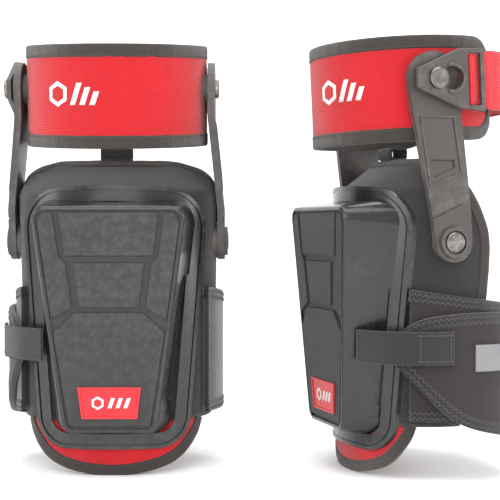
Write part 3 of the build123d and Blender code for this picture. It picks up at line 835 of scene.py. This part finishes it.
def grain_group():
    """The fine pebble that a spark-worn mould leaves on plastic, with a few light scratches."""
    tree, given, out = new_group(
        "Grain", [("Vector", VECTOR, None), ("Size", FLOAT, 0.0006)], [("Height", FLOAT), ("Scratch", FLOAT)])
    scale = calc(tree, "DIVIDE", 1.0, given["Size"])
    feed(tree, out["Height"], noise(tree, given["Vector"], scale, 2.0, 0.5))
    stretch = tree.nodes.new("ShaderNodeMapping")
    stretch.inputs["Scale"].default_value = (900.0, 60.0, 25.0)
    stretch.inputs["Rotation"].default_value = (0.5, 0.3, 0.9)
    tree.links.new(given["Vector"], stretch.inputs["Vector"])
    line = noise(tree, stretch.outputs[0], 1.0, 1.0, 0.4)
    feed(tree, out["Scratch"], remap(tree, line, 0.68, 0.74))
    return tree


GROUPS = {}
for make_group in (weave_group, ribs_group, drift_group, wear_group, grain_group):
    tree = make_group()
    GROUPS[tree.name] = tree
print("shader groups", sorted(GROUPS))

# %% [markdown]
# ## Materials
# Cloth reads the UV map that the panels carry in metres, so a rib is as wide on the strap
# as on the body. Hard parts have no UV map and read the object's own coordinates.


# %% Material helpers
def new_material(name):
    material = bpy.data.materials.new(name)
    material.use_nodes = True
    tree = material.node_tree
    return material, tree, tree.nodes["Principled BSDF"].inputs


def use_group(tree, name, vector, **settings):
    node = tree.nodes.new("ShaderNodeGroup")
    node.node_tree = GROUPS[name]
    feed(tree, node.inputs["Vector"], vector)
    for label, value in settings.items():
        node.inputs[label.capitalize()].default_value = value
    return node.outputs


def on_cloth(tree):
    node = tree.nodes.new("ShaderNodeUVMap")
    node.uv_map = "cloth"
    return node.outputs[0]


def on_body(tree):
    return tree.nodes.new("ShaderNodeTexCoord").outputs["Object"]


def raise_surface(tree, height, distance, strength=1.0, under=None):
    node = tree.nodes.new("ShaderNodeBump")
    node.inputs["Strength"].default_value = strength
    node.inputs["Distance"].default_value = distance
    feed(tree, node.inputs["Height"], height)
    if under is not None:
        tree.links.new(under, node.inputs["Normal"])
    return node.outputs[0]


def cloth(name, groove_shade, light, pattern, pitch, angle=0.0, rough=0.85, sheen=0.35, relief=0.0003, **more):
    """A sewn material: colour goes from a darker copy, painted shade in the grooves between the threads, to
    light, on top of them.
    """
    material, tree, shader = new_material(name)
    where = on_cloth(tree)
    made = use_group(tree, pattern, where, pitch=pitch, angle=angle, **more)
    tone = use_group(tree, "Drift", on_body(tree), size=0.045)["Tone"]
    fuzz = noise(tree, where, 5200.0, 3.0, 0.7)
    height = calc(tree, "MULTIPLY_ADD", fuzz, 0.28, made["Height"])
    # Painted shade: where the weave or ribs sink, the colour darkens towards the first colour, standing in
    # for the shade between the threads.
    colour = blend_colours(tree, remap(tree, height, 0.2, 1.1), (*groove_shade, 1), (*light, 1))
    shift = blend_colours(tree, tone, (0.86, 0.86, 0.86, 1), (1.1, 1.1, 1.1, 1))
    shade = blend_colours(tree, 1.0, colour, shift, "MULTIPLY")
    feed(tree, shader["Base Color"], shade)
    feed(tree, shader["Roughness"], remap(tree, tone, 0, 1, rough - 0.06, min(rough + 0.06, 1)))
    feed(tree, shader["Normal"], raise_surface(tree, height, relief))
    shader["Sheen Weight"].default_value = sheen
    shader["Sheen Roughness"].default_value = 0.4
    shader["Specular IOR Level"].default_value = 0.25
    return material


def moulded(name, base, rub, rough, grain_size, relief, coat=0.0, scratches=0.25, spread=0.06):
    """A hard plastic: moulded grain, rubbed edges and a slow change of gloss."""
    material, tree, shader = new_material(name)
    where = on_body(tree)
    grain = use_group(tree, "Grain", where, size=grain_size)
    worn = use_group(tree, "Wear", where, width=0.07)["Mask"]
    tone = use_group(tree, "Drift", where, size=0.05)["Tone"]
    marks = calc(tree, "MULTIPLY", grain["Scratch"], scratches)
    colour = blend_colours(tree, calc(tree, "MAXIMUM", calc(tree, "MULTIPLY", worn, 0.7), marks),
                           (*base, 1), (*rub, 1))
    shade = blend_colours(tree, tone, (0.88, 0.88, 0.88, 1), (1.12, 1.12, 1.12, 1))
    feed(tree, shader["Base Color"], blend_colours(tree, 1.0, colour, shade, "MULTIPLY"))
    gloss = remap(tree, tone, 0, 1, rough - spread, rough + spread)
    feed(tree, shader["Roughness"], calc(tree, "ADD", gloss, calc(tree, "MULTIPLY", worn, 0.15)))
    feed(tree, shader["Normal"], raise_surface(tree, grain["Height"], relief))
    shader["Coat Weight"].default_value = coat
    shader["Coat Roughness"].default_value = 0.12
    return material


def metal():
    material, tree, shader = new_material("rivet metal")
    where = on_body(tree)
    worn = use_group(tree, "Wear", where, width=0.05)["Mask"]
    grain = use_group(tree, "Grain", where, size=0.0003)
    colour = blend_colours(tree, worn, (0.16, 0.15, 0.14, 1), (0.42, 0.4, 0.38, 1))
    feed(tree, shader["Base Color"], colour)
    feed(tree, shader["Roughness"], remap(tree, grain["Height"], 0.3, 0.7, 0.24, 0.42))
    feed(tree, shader["Normal"], raise_surface(tree, grain["Height"], 0.00003))
    shader["Metallic"].default_value = 1.0
    return material


def yarn(name, colour):
    """Sewing thread, with its twist shown as slanted ribs and painted shade in the grooves between them."""
    material, tree, shader = new_material(name)
    where = on_body(tree)
    twist = use_group(tree, "Ribs", where, pitch=0.0005, angle=0.7)["Height"]
    # Painted shade: the thread is drawn at 0.6 of its colour where the ribs of its twist sink.
    low, high = (*[c * 0.6 for c in colour], 1), (*colour, 1)
    feed(tree, shader["Base Color"], blend_colours(tree, twist, low, high))
    feed(tree, shader["Normal"], raise_surface(tree, twist, 0.0001))
    shader["Roughness"].default_value = 0.6
    shader["Sheen Weight"].default_value = 0.3
    return material


# In each cloth look the first colour is a darker copy of the second, painted as the shade between the
# threads.
LOOKS = {
    "cap plastic": moulded(
        "cap plastic", (0.012, 0.012, 0.0125), (0.05, 0.05, 0.05), 0.27, 0.0011, 0.00005, 0.25
    ),
    "tread plastic": moulded(
        "tread plastic", (0.022, 0.022, 0.0225), (0.07, 0.07, 0.07), 0.58, 0.0007, 0.00012
    ),
    "badge rubber": moulded("badge rubber", (0.55, 0.012, 0.02), (0.6, 0.06, 0.07), 0.42, 0.0009, 0.00005),
    "arm plastic": moulded("arm plastic", (0.052, 0.044, 0.04), (0.12, 0.11, 0.1), 0.43, 0.0006, 0.00008),
    "foam": cloth("foam", (0.05, 0.05, 0.05), (0.12, 0.12, 0.12), "Weave", 0.0015),
    "red fabric": cloth("red fabric", (0.3, 0.004, 0.008), (0.72, 0.018, 0.026), "Weave", 0.0016,
                        angle=0.785, relief=0.0004, slip=1.0),
    "black fabric": cloth("black fabric", (0.008, 0.008, 0.008), (0.034, 0.033, 0.034), "Ribs", 0.0014,
                          angle=0.9, relief=0.0005, round=0.8),
    "black knit lining": cloth("black knit lining", (0.006, 0.006, 0.006), (0.028, 0.028, 0.028), "Weave",
                               0.0021, angle=0.785, relief=0.0005),
    "ribbed tape": cloth("ribbed tape", (0.016, 0.013, 0.012), (0.062, 0.052, 0.046), "Ribs", 0.0013,
                         relief=0.0004, round=0.9),
    "black webbing": cloth("black webbing", (0.01, 0.01, 0.01), (0.05, 0.048, 0.047), "Weave", 0.0011,
                           angle=0.785, relief=0.0003),
    "neoprene": cloth("neoprene", (0.018, 0.014, 0.017), (0.04, 0.033, 0.037), "Weave", 0.0007,
                      relief=0.00012, sheen=0.6),
    "neoprene edge": cloth("neoprene edge", (0.014, 0.012, 0.013), (0.038, 0.033, 0.034), "Ribs", 0.0008,
                           relief=0.0002, sheen=0.5, round=0.9),
    "label fabric": cloth(
        "label fabric", (0.16, 0.16, 0.17), (0.32, 0.32, 0.33), "Weave", 0.0006, relief=0.0001
    ),
    "red elastic": cloth("red elastic", (0.34, 0.006, 0.012), (0.75, 0.025, 0.035), "Ribs", 0.0017,
                         angle=math.pi / 2, relief=0.0005, round=0.8),
    "rivet metal": metal(),
    "thread": yarn("thread", (0.035, 0.032, 0.03)),
    "dark thread": yarn("dark thread", (0.07, 0.065, 0.068)),
    "white print": cloth("white print", (0.5, 0.5, 0.5), (0.85, 0.85, 0.85), "Weave", 0.0016, angle=0.785,
                         relief=0.0002),
    "red print": cloth("red print", (0.4, 0.01, 0.015), (0.7, 0.02, 0.03), "Weave", 0.0006, relief=0.0001),
}
SLOT = {row["node"]: row["material_slot"] for row in frame["record"]["subparts"]}


def dress(thing, material):
    thing.data.materials.clear()
    thing.data.materials.append(LOOKS[material])
    return thing


SOFT = {
    "fabric_body": "black fabric", "body_binding": "ribbed tape", "knee_liner": "black knit lining",
    "shin_flap": "red fabric", "flap_binding": "ribbed tape", "pull_loop": "black webbing",
    "outer_wing": "neoprene", "inner_wing": "neoprene", "wing_binding": "neoprene edge",
    "calf_strap": "neoprene", "strap_binding": "neoprene edge", "strap_tab": "black webbing",
    "strap_label": "label fabric", "cuff_panel": "red fabric", "cuff_lining": "black knit lining",
    "cuff_binding": "ribbed tape", "elastic_strap": "red elastic",
}
for node, slot in SLOT.items():
    for holder in NODES[node].material_slots:
        holder.material = LOOKS[slot]
for side in SIDES:
    for name, material in SOFT.items():
        dress(PIECES[side, name], material)
print("materials", len(LOOKS), "soft pieces dressed", len(SOFT) * 2)

# %% [markdown]
# ## Stitches
# One Geometry Nodes tree makes every row of stitches. It takes a line that carries the
# cloth's normal at each point, puts a bent bit of thread at each step and lays it along
# the line, turned left and right in turn for a zigzag. The result becomes a plain mesh,
# one for each body that the stitches move with.


# %% Stitch row tree
def stitch_tree():
    tree = bpy.data.node_groups.new("Stitch row", "GeometryNodeTree")
    tree.interface.new_socket("Line", in_out="INPUT", socket_type="NodeSocketGeometry")
    for label, value in (("Pitch", 0.0033), ("Length", 0.0025), ("Thickness", 0.0007), ("Turn", 0.0)):
        tree.interface.new_socket(label, in_out="INPUT", socket_type=FLOAT).default_value = value
    tree.interface.new_socket("Thread", in_out="INPUT", socket_type="NodeSocketMaterial")
    tree.interface.new_socket("Stitches", in_out="OUTPUT", socket_type="NodeSocketGeometry")
    add, link = tree.nodes.new, tree.links.new
    given = add("NodeGroupInput").outputs

    to_curve = add("GeometryNodeMeshToCurve")
    link(given["Line"], to_curve.inputs[0])
    steps = add("GeometryNodeResampleCurve")
    steps.mode = "LENGTH"
    link(to_curve.outputs[0], steps.inputs["Curve"])
    link(given["Pitch"], steps.inputs["Length"])

    # one stitch: a shallow arch of thread with its two ends sunk in the cloth
    arch = add("GeometryNodeCurveQuadraticBezier")
    arch.inputs["Resolution"].default_value = 5
    for socket, share, rise in (("Start", -0.5, -0.6), ("Middle", 0.0, 1.1), ("End", 0.5, -0.6)):
        point = add("ShaderNodeCombineXYZ")
        link(calc(tree, "MULTIPLY", given["Length"], share), point.inputs["X"])
        link(calc(tree, "MULTIPLY", given["Thickness"], rise), point.inputs["Z"])
        link(point.outputs[0], arch.inputs[socket])
    around = add("GeometryNodeCurvePrimitiveCircle")
    around.inputs["Resolution"].default_value = 7
    link(calc(tree, "MULTIPLY", given["Thickness"], 0.5), around.inputs["Radius"])
    bit = add("GeometryNodeCurveToMesh")
    bit.inputs["Fill Caps"].default_value = True
    link(arch.outputs[0], bit.inputs["Curve"])
    link(around.outputs[0], bit.inputs["Profile Curve"])

    lie = add("GeometryNodeInputNamedAttribute")
    lie.data_type = "FLOAT_VECTOR"
    lie.inputs["Name"].default_value = "lie"
    ahead = add("GeometryNodeInputTangent")
    face = add("FunctionNodeAxesToRotation")
    face.primary_axis, face.secondary_axis = "Z", "X"
    link(lie.outputs["Attribute"], face.inputs["Primary Axis"])
    link(ahead.outputs[0], face.inputs["Secondary Axis"])
    place = add("GeometryNodeInstanceOnPoints")
    link(steps.outputs[0], place.inputs["Points"])
    link(bit.outputs[0], place.inputs["Instance"])
    link(face.outputs[0], place.inputs["Rotation"])

    parity = calc(tree, "FLOORED_MODULO", add("GeometryNodeInputIndex").outputs[0], 2.0)
    odd = calc(tree, "MULTIPLY_ADD", parity, 2.0, -1.0)
    swing = add("ShaderNodeCombineXYZ")
    link(calc(tree, "MULTIPLY", odd, given["Turn"]), swing.inputs["Z"])
    zigzag = add("GeometryNodeRotateInstances")
    link(place.outputs[0], zigzag.inputs["Instances"])
    link(swing.outputs[0], zigzag.inputs["Rotation"])

    real = add("GeometryNodeRealizeInstances")
    link(zigzag.outputs[0], real.inputs[0])
    paint = add("GeometryNodeSetMaterial")
    link(real.outputs[0], paint.inputs["Geometry"])
    link(given["Thread"], paint.inputs["Material"])
    link(paint.outputs[0], add("NodeGroupOutput").inputs[0])
    return tree


STITCH_TREE = stitch_tree()
STITCH_INPUT = {item.name: item.identifier for item in STITCH_TREE.interface.items_tree
                if item.in_out == "INPUT"}
print("stitch tree inputs", sorted(STITCH_INPUT))


# %% Sew every row
def row_mesh(seam):
    count = len(seam["line"])
    edges = [(k, k + 1) for k in range(count - 1)] + ([(count - 1, 0)] if seam["closed"] else [])
    mesh = bpy.data.meshes.new("row")
    mesh.from_pydata([tuple(p) for p in seam["line"]], edges, [])
    lie = mesh.attributes.new("lie", "FLOAT_VECTOR", "POINT")
    lie.data.foreach_set("vector", np.asarray(seam["lie"], np.float32).ravel())
    row = bpy.data.objects.new("row", mesh)
    SCENE.collection.objects.link(row)
    sewing = row.modifiers.new("sewing", "NODES")
    sewing.node_group = STITCH_TREE
    for label, value in (("Pitch", seam["pitch"]), ("Length", seam["length"]), ("Thickness", seam["thick"]),
                         ("Turn", seam["turn"]), ("Thread", LOOKS[seam["thread"]])):
        sewing[STITCH_INPUT[label]] = value
    bpy.context.view_layer.update()
    seen = row.evaluated_get(bpy.context.evaluated_depsgraph_get())
    made = bpy.data.meshes.new_from_object(seen)
    bpy.data.objects.remove(row)
    return made


def sew_rows(name, seams):
    """All rows of one body and one thread, as one plain mesh."""
    things = [bpy.data.objects.new("bit", row_mesh(seam)) for seam in seams]
    thing = joined(name, things)
    SCENE.collection.objects.link(thing)
    thing.data.polygons.foreach_set("use_smooth", [True] * len(thing.data.polygons))
    return dress(thing, seams[0]["thread"])


STITCHES = []
for body in sorted({seam["body"] for seam in SEAMS}):
    for thread in ("thread", "dark thread"):
        seams = [seam for seam in SEAMS if seam["body"] == body and seam["thread"] == thread]
        if seams:
            thing = sew_rows(f"{body}_{thread.replace(' ', '_')}", seams)
            STITCHES.append((thing, body))
            print(thing.name, len(seams), "rows,", len(thing.data.polygons), "faces")

# %% [markdown]
# ## Printed marks
# The cuff carries a plain printed mark, three slanting bars beside an open hexagon, and
# the cap's badge a smaller set. They are thin patches that follow the surface under them,
# so they bend with it.


# %% Marks
def strip_patch(corners, across=10, up=6):
    """A four-cornered flat patch as a grid of points; corners run round from its lower left."""
    a, b, c, d = (np.array(corner, float) for corner in corners)
    s, t = np.meshgrid(np.linspace(0, 1, across), np.linspace(0, 1, up))
    s, t = s[..., None], t[..., None]
    return a * (1 - s) * (1 - t) + b * s * (1 - t) + c * s * t + d * (1 - s) * t


def hexagon(centre, outer, inner):
    turns = np.radians(np.arange(6) * 60 + 30)
    ring = np.stack([np.cos(turns), np.sin(turns)], 1)
    out, within = centre + ring * outer, centre + ring * inner
    return [(out[k], out[(k + 1) % 6], within[(k + 1) % 6], within[k]) for k in range(6)]


def slanted_bar(x, y, width, height, lean=0.35):
    shift = lean * height
    return ((x, y), (x + width, y), (x + width + shift, y + height), (x + shift, y + height))


def make_mark(name, side, patches, on_surface, thick, leaning):
    things = []
    for patch in patches:
        flat = strip_patch(patch)
        points, out = on_surface(flat)
        rows, columns = flat.shape[:2]
        n = rows * columns
        index = np.arange(n).reshape(rows, columns)
        quads = np.stack([index[:-1, :-1], index[:-1, 1:], index[1:, 1:], index[1:, :-1]], -1).reshape(-1, 4)
        rim = np.concatenate([index[0, :], index[1:, -1], index[-1, -2::-1], index[-2:0:-1, 0]])
        after = np.roll(rim, -1)
        faces = np.concatenate([quads, quads[:, ::-1] + n, np.stack([rim, after, after + n, rim + n], -1)])
        both = np.concatenate([(points + out * thick).reshape(-1, 3), (points - out * 0.3).reshape(-1, 3)])
        uv = np.concatenate([flat.reshape(-1, 2)] * 2) * MM
        things.append(add_object("patch", to_leg(side, both, leaning), faces, uv))
    return joined(f"{side}_{name}", things)


def on_cuff(centre_angle, height):
    def place(flat):
        turn = np.radians(centre_angle) + flat[..., 0] / CUFF_R
        out = np.stack([np.sin(turn), -np.cos(turn), np.zeros_like(turn)], -1)
        ring = out * (CUFF_R + 1.0) + (0, CUFF_Y, 0)
        ring[..., 2] = height + flat[..., 1]
        return ring, out
    return place


def on_badge(flat):
    """The badge's plane on the cap's front face."""
    lean = math.atan2(9.0, 186.3)
    out = np.array((0, -math.cos(lean), -math.sin(lean)))
    up = np.array((0, -math.sin(lean), math.cos(lean)))
    middle = np.array((0, -70.5, 131.35)) + out * 0.5
    points = middle + flat[..., :1] * (1, 0, 0) + flat[..., 1:] * up
    return points, np.broadcast_to(out, points.shape)


MARKS = []
for side in SIDES:
    flip = -1 if side == "right" else 1
    bars = [slanted_bar(x, -9, 4.6, 18 - k * 3.5) for k, x in enumerate((0, 8.5, 17))]
    emblem = hexagon(np.array((-12.0, 0)), 10.5, 6.8)
    patches = [[(flip * x, y) for x, y in patch] for patch in emblem + bars]
    mark = make_mark("cuff_mark", side, patches, on_cuff(24, 322), 0.25, True)
    MARKS.append((dress(mark, "white print"), f"{side}_cuff", "label fabric"))
    bars = [slanted_bar(x, -72.2, 3.2, 8.4) for x in (-1.5, 5.0, 11.5)]
    patches = [[(flip * x, y) for x, y in patch] for patch in hexagon(np.array((-9.5, -68)), 5.6, 3.5) + bars]
    mark = make_mark("badge_mark", side, patches, on_badge, 0.35, False)
    MARKS.append((dress(mark, "white print"), f"{side}_knee", "label fabric"))
print("marks", [mark.name for mark, _, _ in MARKS])

# %% [markdown]
# ## Floor and light
# The floor turns up into the wall in one curve. A broad soft light from above and in
# front, a second from the left and a narrow one from the right give the cap its long
# highlights, and a bright pale world fills the shadows.


# %% Room
def make_sweep():
    profile = [(-3.0, 0.0), (1.2, 0.0)]
    profile += [(1.2 + 1.2 * math.sin(t), 1.2 - 1.2 * math.cos(t)) for t in np.linspace(0.1, math.pi / 2, 16)]
    profile.append((2.4, 4.0))
    points = [(x, y, z) for y, z in profile for x in (-4, 4)]
    faces = [(2 * k, 2 * k + 1, 2 * k + 3, 2 * k + 2) for k in range(len(profile) - 1)]
    return add_object("floor", points, faces, None)


def paper():
    material, tree, shader = new_material("paper")
    tone = use_group(tree, "Drift", on_body(tree), size=0.4)["Tone"]
    feed(tree, shader["Base Color"], blend_colours(tree, tone, (0.93, 0.93, 0.93, 1), (0.95, 0.95, 0.95, 1)))
    shader["Roughness"].default_value = 0.9
    return material


floor = make_sweep()
floor.data.materials.append(paper())


def area_light(name, place, aim, width, height, power):
    data = bpy.data.lights.new(name, "AREA")
    data.shape, data.size, data.size_y, data.energy = "RECTANGLE", width, height, power
    lamp = bpy.data.objects.new(name, data)
    lamp.location = place
    lamp.rotation_euler = (Vector(aim) - Vector(place)).to_track_quat("-Z", "Y").to_euler()
    SCENE.collection.objects.link(lamp)


area_light("overhead", (0.1, -0.5, 1.9), (0.12, 0, 0.15), 1.8, 1.4, 26)
area_light("front", (0.0, -2.2, 0.9), (0.12, 0, 0.2), 1.6, 1.2, 20)
area_light("right", (1.9, -0.7, 0.7), (0.2, 0, 0.18), 0.7, 1.4, 16)
area_light("left", (-1.7, -0.8, 0.8), (0.0, 0, 0.18), 0.7, 1.4, 12)
area_light("wall", (0.1, 1.0, 2.6), (0.1, 2.2, 0.4), 2.4, 0.8, 30)
world = bpy.data.worlds.new("studio")
world.use_nodes = True
world.node_tree.nodes["Background"].inputs["Color"].default_value = (1, 1, 1, 1)
world.node_tree.nodes["Background"].inputs["Strength"].default_value = 0.75
SCENE.world = world
SCENE.view_settings.view_transform = "Standard"
print("lights", len(bpy.data.lights))

# %% [markdown]
# ## Moving
# Each sewn piece, stitch row and mark is told which body it moves with, and the CAD solid
# that a sewn piece stands for is hidden. The elastic moves with no body.

# %% Ride and replace
RIDES = {
    "knee": ["fabric_body", "body_binding", "knee_liner", "shin_flap", "flap_binding", "pull_loop",
             "outer_wing", "inner_wing", "wing_binding"],
    "strap": ["calf_strap", "strap_binding", "strap_tab", "strap_label"],
    "cuff": ["cuff_panel", "cuff_lining", "cuff_binding"],
}

for side in SIDES:
    for body, names in RIDES.items():
        for name in names:
            piece = PIECES[side, name]
            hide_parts(f"{side}_{name}")
            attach(piece, f"{side}_{body}")
    elastic = PIECES[side, "elastic_strap"]
    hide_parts(f"{side}_elastic_strap")
    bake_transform(elastic)
for thing, body in STITCHES:
    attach(thing, body)
for thing, body, slot in MARKS:
    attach(thing, body)
print("pieces riding", len(PIECES) + len(STITCHES) + len(MARKS))
